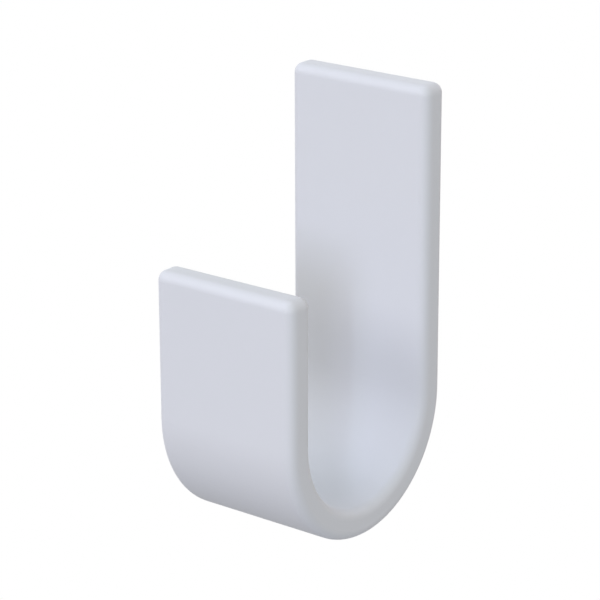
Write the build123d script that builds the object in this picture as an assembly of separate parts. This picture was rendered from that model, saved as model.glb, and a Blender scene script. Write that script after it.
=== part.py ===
from build123d import *
import os

# Adhesive wall hook: a flat strip moulded in one piece as a J, with a foam pad that sticks it to the wall.
# Frame: the origin is the centre of the pad's wall face, +Y points into the wall and +Z up,
# so the hook reaches out along -Y and its lip faces the room.
# All values are in millimetres.

# Moulded strip
strip_width = 20.0
strip_thickness = 3.7
edge_radius = 1.2

# J outline, with both upright runs measured from the level of the bend's centre
bend_inner_radius = 11.0
back_run_height = 37.6
lip_run_height = 18.3
half_turn = 180.0

# Foam pad, die-cut from double-sided tape
pad_width = 16.0
pad_height = 34.0
pad_thickness = 1.0
pad_corner_radius = 2.0

# Places worked out from the sizes above
bend_outer_radius = bend_inner_radius + strip_thickness
back_face_y = -pad_thickness
bend_centre_y = back_face_y - bend_outer_radius
flat_height = back_run_height - edge_radius
bend_centre_z = -flat_height / 2


def run_edge(y, height):
    """Upright line of the outline, from the bend's level up to the strip's end."""
    return Line((y, bend_centre_z), (y, bend_centre_z + height))


def half_bend(radius):
    """Half circle under the bend's centre, from the back run round to the lip."""
    return CenterArc((bend_centre_y, bend_centre_z), radius, half_turn, half_turn)


def strip_end(outer_y, inner_y, height):
    """Short level line that closes one end of the strip."""
    z = bend_centre_z + height
    return Line((outer_y, z), (inner_y, z))


def j_outline():
    """Side view of the strip: two concentric half circles, each carried up by two uprights."""
    back_outer_y = bend_centre_y + bend_outer_radius
    back_inner_y = bend_centre_y + bend_inner_radius
    lip_inner_y = bend_centre_y - bend_inner_radius
    lip_outer_y = bend_centre_y - bend_outer_radius
    return [
        run_edge(back_outer_y, back_run_height),
        strip_end(back_outer_y, back_inner_y, back_run_height),
        run_edge(back_inner_y, back_run_height),
        half_bend(bend_inner_radius),
        run_edge(lip_inner_y, lip_run_height),
        strip_end(lip_inner_y, lip_outer_y, lip_run_height),
        run_edge(lip_outer_y, lip_run_height),
        half_bend(bend_outer_radius),
    ]


def hook_moulding():
    """The J outline carried across the strip's width, with one radius rolled round every edge and corner."""
    side_view = Plane.YZ * make_face(Wire(j_outline()))
    strip = extrude(side_view, strip_width / 2, both=True)
    return fillet(strip.edges(), edge_radius)


def adhesive_pad():
    """Rounded rectangle of foam tape on the flat of the back run, inside its rolled edges."""
    cut_shape = Plane.XZ * RectangleRounded(pad_width, pad_height, pad_corner_radius)
    return extrude(cut_shape, pad_thickness)


os.makedirs("parts", exist_ok=True)
export_step(hook_moulding(), "parts/hook.step")
export_step(adhesive_pad(), "parts/adhesive_pad.step")
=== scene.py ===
# Adhesive wall hook: a white plastic J strip with rolled edges, and the foam tape pad on its back.
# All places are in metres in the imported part's frame: +Y into the wall, +Z up, the lip towards -Y.

import math

import bpy
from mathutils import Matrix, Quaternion, Vector


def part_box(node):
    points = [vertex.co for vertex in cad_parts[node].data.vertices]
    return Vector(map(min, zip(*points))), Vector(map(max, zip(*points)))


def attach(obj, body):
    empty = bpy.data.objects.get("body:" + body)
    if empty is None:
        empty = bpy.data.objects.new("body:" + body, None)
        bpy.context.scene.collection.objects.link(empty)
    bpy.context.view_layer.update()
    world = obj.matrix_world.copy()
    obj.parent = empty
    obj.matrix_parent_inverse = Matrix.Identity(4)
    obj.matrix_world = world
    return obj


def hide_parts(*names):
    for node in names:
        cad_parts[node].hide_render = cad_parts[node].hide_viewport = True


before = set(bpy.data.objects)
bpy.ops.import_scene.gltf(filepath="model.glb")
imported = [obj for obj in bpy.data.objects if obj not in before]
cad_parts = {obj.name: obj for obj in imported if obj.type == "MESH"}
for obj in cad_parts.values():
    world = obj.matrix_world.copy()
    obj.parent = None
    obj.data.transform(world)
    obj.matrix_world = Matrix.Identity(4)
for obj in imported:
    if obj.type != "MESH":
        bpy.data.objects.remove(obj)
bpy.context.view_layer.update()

millimetre = 0.001

# Places read from the moulding: its depth is the outer diameter of the bend
hook_low, hook_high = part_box("hook")
hook_middle = (hook_low + hook_high) / 2
bend_outer_radius = (hook_high.y - hook_low.y) / 2
bend_centre = Vector((hook_middle.x, hook_middle.y, hook_low.z + bend_outer_radius))

# Camera, as fitted to the hook's outline in the photograph
view_azimuth = 37.65
view_elevation = 19.35
view_roll = -0.17
view_distance = 311.3 * millimetre
aim_left_of_bend = 0.19 * millimetre
aim_above_bend = 11.98 * millimetre
lens_length = 157.0
sensor_width = 36.0
nearest_seen = 3 * millimetre
farthest_seen = 3.6

# Studio
floor_drop = 150 * millimetre
floor_side = 1.2
lamp_distance = 1.5
full_white = (1, 1, 1, 1)

# Foam tape pad: an adhesive film on each side, and foam between them that the die leaves a little hollow
pad_corner_radius = 2.0 * millimetre
pad_corner_steps = 10
film_thickness = 0.09 * millimetre
film_overlap = 0.05 * millimetre
foam_hollow = 0.14 * millimetre
foam_steps = 8
pad_smooth_angle = 35

# Patterns: noise runs from 0 to 1, with most of it near the middle
noise_middle = 0.5
noise_usual_low = 0.25
noise_usual_high = 0.75
drift_detail = 2.0
grain_detail = 3.0
cell_rounding = 0.3
cell_wall_distance = 0.7

# Finishes: how high each surface's relief is, and what is the same all over a surface
grain_relief = 0.002 * millimetre
cut_cell_relief = 0.05 * millimetre
film_relief = 0.012 * millimetre
plastic_ior = 1.5
adhesive_ior = 1.47
foam_roughness = 0.9


def direction_from(azimuth, elevation):
    """Direction from the hook towards a viewer or lamp: azimuth 0 faces the lip, 90 is off the +X side."""
    around = math.radians(azimuth)
    above = math.radians(elevation)
    level = math.cos(above)
    return Vector((math.sin(around) * level, -math.cos(around) * level, math.sin(above)))


# Camera


def add_camera():
    """The photograph's view, aimed a little above the bend."""
    back = direction_from(view_azimuth, view_elevation)
    turn = back.to_track_quat("Z", "Y") @ Quaternion((0, 0, 1), math.radians(view_roll))
    picture_right = turn @ Vector((1, 0, 0))
    picture_up = turn @ Vector((0, 1, 0))
    aim = bend_centre - picture_right * aim_left_of_bend + picture_up * aim_above_bend
    bpy.ops.object.camera_add(location=aim + back * view_distance)
    camera = bpy.context.object
    camera.rotation_mode = "QUATERNION"
    camera.rotation_quaternion = turn
    camera.data.sensor_width = sensor_width
    camera.data.lens = lens_length
    camera.data.clip_start = nearest_seen
    camera.data.clip_end = farthest_seen
    bpy.context.scene.camera = camera


# Studio


def seen_directly(tree):
    """1 where a ray comes from the camera, a reflection or through glass, so that all three see white."""
    path = tree.nodes.new("ShaderNodeLightPath")
    seen = path.outputs["Is Camera Ray"]
    for kind in ("Is Glossy Ray", "Is Transmission Ray"):
        either = tree.nodes.new("ShaderNodeMath")
        either.operation = "MAXIMUM"
        tree.links.new(seen, either.inputs[0])
        tree.links.new(path.outputs[kind], either.inputs[1])
        seen = either.outputs[0]
    return seen


def white_where_seen(tree, shader, white, output):
    """Show white to the camera and to reflections, and leave the light on the hook to the plain shader."""
    mix = tree.nodes.new("ShaderNodeMixShader")
    tree.links.new(seen_directly(tree), mix.inputs["Fac"])
    tree.links.new(shader.outputs[0], mix.inputs[1])
    tree.links.new(white.outputs[0], mix.inputs[2])
    tree.links.new(mix.outputs[0], output.inputs["Surface"])


def light_room(level, colour):
    """The even light of the studio from all sides."""
    world = bpy.data.worlds.new("studio")
    world.use_nodes = True
    tree = world.node_tree
    tree.nodes.clear()
    room = tree.nodes.new("ShaderNodeBackground")
    room.inputs["Color"].default_value = (*colour, 1)
    room.inputs["Strength"].default_value = level
    white = tree.nodes.new("ShaderNodeBackground")
    white.inputs["Color"].default_value = full_white
    output = tree.nodes.new("ShaderNodeOutputWorld")
    white_where_seen(tree, room, white, output)
    bpy.context.scene.world = world


def lamp_side(angle):
    """How wide a lamp is that fills the angle, seen from the hook."""
    return 2 * lamp_distance * math.tan(math.radians(angle / 2))


def add_softbox(name, azimuth, elevation, width, height, level, colour):
    """A lamp that faces the bend. Width and height are the angles it fills, seen from the hook,
    and level is how bright it alone makes a white face turned to it."""
    towards = direction_from(azimuth, elevation)
    bpy.ops.object.light_add(type="AREA", location=bend_centre + towards * lamp_distance)
    lamp = bpy.context.object
    lamp.name = name
    lamp.rotation_mode = "QUATERNION"
    lamp.rotation_quaternion = towards.to_track_quat("Z", "Y")
    lamp.data.shape = "RECTANGLE"
    lamp.data.size = lamp_side(width)
    lamp.data.size_y = lamp_side(height)
    lamp.data.energy = level * (math.pi * lamp_distance) ** 2
    lamp.data.color = colour
    lamp.visible_camera = False


def add_floor(colour):
    """A plain floor far below the hook, which hangs on a wall. It shows white, but its own grey lights the
    hook from below as dimly as in the photograph."""
    material = bpy.data.materials.new("studio_floor")
    material.use_nodes = True
    tree = material.node_tree
    tree.nodes.clear()
    paint = tree.nodes.new("ShaderNodeBsdfDiffuse")
    paint.inputs["Color"].default_value = (*colour, 1)
    white = tree.nodes.new("ShaderNodeEmission")
    white.inputs["Color"].default_value = full_white
    output = tree.nodes.new("ShaderNodeOutputMaterial")
    white_where_seen(tree, paint, white, output)
    floor_place = (bend_centre.x, bend_centre.y, bend_centre.z - floor_drop)
    bpy.ops.mesh.primitive_plane_add(size=floor_side, location=floor_place)
    floor = bpy.context.object
    floor.name = "floor"
    floor.data.materials.append(material)


# Effects that several finishes share, each a node group


def new_effect(name, inputs, outputs):
    """An empty node group with named inputs and outputs, as (group, its inputs, its outputs)."""
    group = bpy.data.node_groups.new(name, "ShaderNodeTree")
    for label, kind, value in inputs:
        socket = group.interface.new_socket(name=label, in_out="INPUT", socket_type=kind)
        socket.default_value = value
    for label, kind in outputs:
        group.interface.new_socket(name=label, in_out="OUTPUT", socket_type=kind)
    return group, group.nodes.new("NodeGroupInput"), group.nodes.new("NodeGroupOutput")


def pattern_of_size(group, kind, size_socket):
    """A pattern on Object coordinates whose patches are about as large as the size in metres."""
    place = group.nodes.new("ShaderNodeTexCoord")
    per_metre = group.nodes.new("ShaderNodeMath")
    per_metre.operation = "DIVIDE"
    per_metre.inputs[0].default_value = 1.0
    pattern = group.nodes.new(kind)
    group.links.new(size_socket, per_metre.inputs[1])
    group.links.new(place.outputs["Object"], pattern.inputs["Vector"])
    group.links.new(per_metre.outputs[0], pattern.inputs["Scale"])
    return pattern


def brightened(group, colour_socket, factor_socket):
    """The colour times the factor."""
    scaled = group.nodes.new("ShaderNodeVectorMath")
    scaled.operation = "SCALE"
    group.links.new(colour_socket, scaled.inputs[0])
    group.links.new(factor_socket, scaled.inputs["Scale"])
    return scaled.outputs[0]


def tone_drift_effect():
    """A colour that turns a little lighter and darker in broad soft patches."""
    group, given, made = new_effect(
        "tone_drift",
        [
            ("Colour", "NodeSocketColor", (0.8, 0.8, 0.8, 1)),
            ("Patch Size", "NodeSocketFloat", 10 * millimetre),
            ("Amount", "NodeSocketFloat", 0.02),
        ],
        [("Colour", "NodeSocketColor")],
    )
    patches = pattern_of_size(group, "ShaderNodeTexNoise", given.outputs["Patch Size"])
    patches.inputs["Detail"].default_value = drift_detail
    centred = group.nodes.new("ShaderNodeMath")
    centred.operation = "SUBTRACT"
    centred.inputs[1].default_value = noise_middle
    brightness = group.nodes.new("ShaderNodeMath")
    brightness.operation = "MULTIPLY_ADD"
    brightness.inputs[2].default_value = 1.0
    group.links.new(patches.outputs["Fac"], centred.inputs[0])
    group.links.new(centred.outputs[0], brightness.inputs[0])
    group.links.new(given.outputs["Amount"], brightness.inputs[1])
    toned = brightened(group, given.outputs["Colour"], brightness.outputs[0])
    group.links.new(toned, made.inputs["Colour"])
    return group


def grain_effect():
    """Fine grain: its height for a bump, and the roughness that goes with it."""
    group, given, made = new_effect(
        "surface_grain",
        [
            ("Grain Size", "NodeSocketFloat", 0.2 * millimetre),
            ("Roughest", "NodeSocketFloat", 0.6),
            ("Smoothest", "NodeSocketFloat", 0.5),
        ],
        [("Height", "NodeSocketFloat"), ("Roughness", "NodeSocketFloat")],
    )
    grain = pattern_of_size(group, "ShaderNodeTexNoise", given.outputs["Grain Size"])
    grain.inputs["Detail"].default_value = grain_detail
    spread = group.nodes.new("ShaderNodeMapRange")
    spread.inputs["From Min"].default_value = noise_usual_low
    spread.inputs["From Max"].default_value = noise_usual_high
    group.links.new(grain.outputs["Fac"], spread.inputs["Value"])
    group.links.new(given.outputs["Smoothest"], spread.inputs["To Min"])
    group.links.new(given.outputs["Roughest"], spread.inputs["To Max"])
    group.links.new(grain.outputs["Fac"], made.inputs["Height"])
    group.links.new(spread.outputs["Result"], made.inputs["Roughness"])
    return group


def foam_cells_effect():
    """Closed cells of foam: their height, low in each hollow, and a painted shade that darkens the colour
    down there.
    """
    group, given, made = new_effect(
        "foam_cells",
        [
            ("Colour", "NodeSocketColor", (0.8, 0.8, 0.8, 1)),
            ("Cell Size", "NodeSocketFloat", 0.3 * millimetre),
            ("Hollow Shade", "NodeSocketFloat", 0.8),
        ],
        [("Height", "NodeSocketFloat"), ("Colour", "NodeSocketColor")],
    )
    cells = pattern_of_size(group, "ShaderNodeTexVoronoi", given.outputs["Cell Size"])
    cells.feature = "SMOOTH_F1"
    cells.inputs["Smoothness"].default_value = cell_rounding
    height = group.nodes.new("ShaderNodeMapRange")
    height.inputs["From Max"].default_value = cell_wall_distance
    # Painted shade: the colour turns darker towards the bottom of each cell's hollow
    painted_hollow_shade = group.nodes.new("ShaderNodeMapRange")
    group.links.new(cells.outputs["Distance"], height.inputs["Value"])
    group.links.new(height.outputs["Result"], painted_hollow_shade.inputs["Value"])
    group.links.new(given.outputs["Hollow Shade"], painted_hollow_shade.inputs["To Min"])
    painted_shade_colour = brightened(group, given.outputs["Colour"], painted_hollow_shade.outputs["Result"])
    group.links.new(height.outputs["Result"], made.inputs["Height"])
    group.links.new(painted_shade_colour, made.inputs["Colour"])
    return group


# Finishes


def new_finish(name):
    """A material with one Principled shader, as (material, shader)."""
    material = bpy.data.materials.new(name)
    material.use_nodes = True
    tree = material.node_tree
    tree.nodes.clear()
    shader = tree.nodes.new("ShaderNodeBsdfPrincipled")
    output = tree.nodes.new("ShaderNodeOutputMaterial")
    tree.links.new(shader.outputs[0], output.inputs["Surface"])
    return material, shader


def use_effect(material, effect, **values):
    """Place a shared effect in a material with its own values; Grain_Size sets the input Grain Size."""
    node = material.node_tree.nodes.new("ShaderNodeGroup")
    node.node_tree = effect
    for name, value in values.items():
        node.inputs[name.replace("_", " ")].default_value = value
    return node


def raise_bump(material, shader, height, relief):
    """Turn a height from 0 to 1 into relief that stands as high as given, in metres."""
    tree = material.node_tree
    bump = tree.nodes.new("ShaderNodeBump")
    bump.inputs["Distance"].default_value = relief
    tree.links.new(height, bump.inputs["Height"])
    tree.links.new(bump.outputs["Normal"], shader.inputs["Normal"])


def hook_plastic(tone_drift, grain):
    """White plastic from a finely eroded mould: an even satin skin with a grain that is just felt."""
    material, shader = new_finish("hook_plastic")
    links = material.node_tree.links
    white = (0.70, 0.71, 0.735, 1)
    tone = use_effect(material, tone_drift, Colour=white, Patch_Size=12 * millimetre, Amount=0.02)
    skin = use_effect(material, grain, Grain_Size=0.16 * millimetre, Roughest=0.64, Smoothest=0.54)
    links.new(tone.outputs["Colour"], shader.inputs["Base Color"])
    links.new(skin.outputs["Roughness"], shader.inputs["Roughness"])
    raise_bump(material, shader, skin.outputs["Height"], grain_relief)
    shader.inputs["IOR"].default_value = plastic_ior
    return material


def foam_core(tone_drift, foam_cells):
    """Soft white foam, its closed cells cut through by the die."""
    material, shader = new_finish("foam_core")
    links = material.node_tree.links
    white = (0.83, 0.825, 0.80, 1)
    tone = use_effect(material, tone_drift, Colour=white, Patch_Size=3 * millimetre, Amount=0.06)
    # The cells' hollows carry painted shade, darker down in each cell
    cells = use_effect(material, foam_cells, Cell_Size=0.24 * millimetre, Hollow_Shade=0.84)
    links.new(tone.outputs["Colour"], cells.inputs["Colour"])
    links.new(cells.outputs["Colour"], shader.inputs["Base Color"])
    raise_bump(material, shader, cells.outputs["Height"], cut_cell_relief)
    shader.inputs["Roughness"].default_value = foam_roughness
    return material


def adhesive_film(tone_drift, grain, foam_cells):
    """Clear tacky adhesive: the cells of the foam show faintly through it, and its gloss is uneven."""
    material, shader = new_finish("adhesive_film")
    links = material.node_tree.links
    cream = (0.75, 0.74, 0.70, 1)
    tone = use_effect(material, tone_drift, Colour=cream, Patch_Size=6 * millimetre, Amount=0.04)
    # Painted shade: the cells seen through the film are slightly darker in their hollows
    cells = use_effect(material, foam_cells, Cell_Size=0.45 * millimetre, Hollow_Shade=0.95)
    gloss = use_effect(material, grain, Grain_Size=1.6 * millimetre, Roughest=0.40, Smoothest=0.26)
    links.new(tone.outputs["Colour"], cells.inputs["Colour"])
    links.new(cells.outputs["Colour"], shader.inputs["Base Color"])
    links.new(gloss.outputs["Roughness"], shader.inputs["Roughness"])
    raise_bump(material, shader, cells.outputs["Height"], film_relief)
    shader.inputs["IOR"].default_value = adhesive_ior
    return material


# Pieces


def pad_layers(thickness):
    """Outline of the pad's cut edge, as (depth from the wall, how far the edge is pulled in)."""
    foam_thickness = thickness - 2 * film_thickness
    layers = [(film_thickness, 0), (film_thickness, film_overlap)]
    for step in range(1, foam_steps + 1):
        share = step / foam_steps
        pulled_in = film_overlap + foam_hollow * math.sin(math.pi * share)
        layers.append((film_thickness + foam_thickness * share, pulled_in))
    return layers + [(thickness - film_thickness, 0), (thickness, 0)]


def model_pad():
    """The die's outline on the wall face, drawn towards the hook through film, foam and film."""
    pad_low, pad_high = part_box("adhesive_pad")
    size = pad_high - pad_low
    middle = (pad_low + pad_high) / 2
    bpy.ops.object.select_all(action="DESELECT")
    bpy.ops.mesh.primitive_plane_add(
        size=1, location=(middle.x, pad_high.y, middle.z), rotation=(-math.pi / 2, 0, 0)
    )
    pad = bpy.context.object
    pad.name = "foam_tape_pad"
    pad.scale = (size.x, size.z, 1)
    bpy.ops.object.transform_apply(location=True, rotation=True, scale=True)
    bpy.ops.object.mode_set(mode="EDIT")
    bpy.ops.mesh.select_all(action="SELECT")
    bpy.ops.mesh.bevel(offset=pad_corner_radius, segments=pad_corner_steps, affect="VERTICES")
    bpy.ops.mesh.select_all(action="SELECT")
    reached = 0
    pulled = 0
    for depth, pulled_in in pad_layers(size.y):
        bpy.ops.mesh.extrude_region_move(TRANSFORM_OT_translate={"value": (0, reached - depth, 0)})
        narrower = (size.x - 2 * pulled_in) / (size.x - 2 * pulled)
        shorter = (size.z - 2 * pulled_in) / (size.z - 2 * pulled)
        bpy.ops.transform.resize(value=(narrower, 1, shorter), center_override=tuple(middle))
        reached = depth
        pulled = pulled_in
    bpy.ops.mesh.select_all(action="SELECT")
    bpy.ops.mesh.normals_make_consistent(inside=False)
    bpy.ops.object.mode_set(mode="OBJECT")
    bpy.ops.object.shade_smooth_by_angle(angle=math.radians(pad_smooth_angle))
    return pad


def finish_pad(pad, foam, film):
    """Foam on the cut edge between the films, and adhesive film on the two faces and their rims."""
    pad_low, pad_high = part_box("adhesive_pad")
    pad.data.materials.append(foam)
    pad.data.materials.append(film)
    for face in pad.data.polygons:
        off_wall = pad_high.y - face.center.y
        off_hook = face.center.y - pad_low.y
        face.material_index = int(min(off_wall, off_hook) < film_thickness)
    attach(pad, "root")
    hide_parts("adhesive_pad")


def finish_hook(plastic):
    """The moulding keeps its own shape and takes the plastic."""
    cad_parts["hook"].material_slots[0].material = plastic


add_camera()

# Light: a warm even room and cooler lamps, fitted to the shading in the photograph and then rounded
light_room(level=0.44, colour=(1.0, 0.96, 0.83))

# From the front right: the key throws the lip's shadow on the back run, and the strip makes its side crisp
add_softbox(
    "key_softbox", azimuth=26, elevation=9, width=15, height=17, level=0.255, colour=(0.74, 0.74, 1.0)
)
add_softbox(
    "strip_softbox", azimuth=25, elevation=13, width=2, height=16, level=0.06, colour=(0.65, 0.90, 1.0)
)

# From the front and the left: broad light on the lip, the back run and the inside of the bend
add_softbox(
    "front_softbox", azimuth=-14, elevation=27, width=55, height=13.5, level=0.235, colour=(0.98, 0.98, 1.0)
)
add_softbox(
    "top_softbox", azimuth=-75, elevation=71, width=15, height=36, level=0.155, colour=(0.56, 0.77, 1.0)
)
add_softbox(
    "left_softbox", azimuth=-63, elevation=34, width=74, height=10, level=0.375, colour=(0.78, 0.77, 1.0)
)

# From the right: a little light on the side of the strip
add_softbox(
    "right_softbox", azimuth=70, elevation=18, width=12.5, height=8, level=0.105, colour=(0.83, 0.98, 1.0)
)

# From behind: bright ends on top, and light on the wall side
add_softbox(
    "rear_softbox", azimuth=172, elevation=24, width=60, height=40, level=0.315, colour=(0.88, 0.78, 1.0)
)
add_softbox(
    "back_softbox", azimuth=225, elevation=5, width=60, height=20, level=0.15, colour=(0.70, 1.0, 0.93)
)
add_floor(colour=(0.33, 0.33, 0.33))

tone_drift = tone_drift_effect()
grain = grain_effect()
foam_cells = foam_cells_effect()
finish_hook(hook_plastic(tone_drift, grain))
foam = foam_core(tone_drift, foam_cells)
film = adhesive_film(tone_drift, grain, foam_cells)
finish_pad(model_pad(), foam, film)

bpy.context.scene.view_settings.view_transform = "Standard"
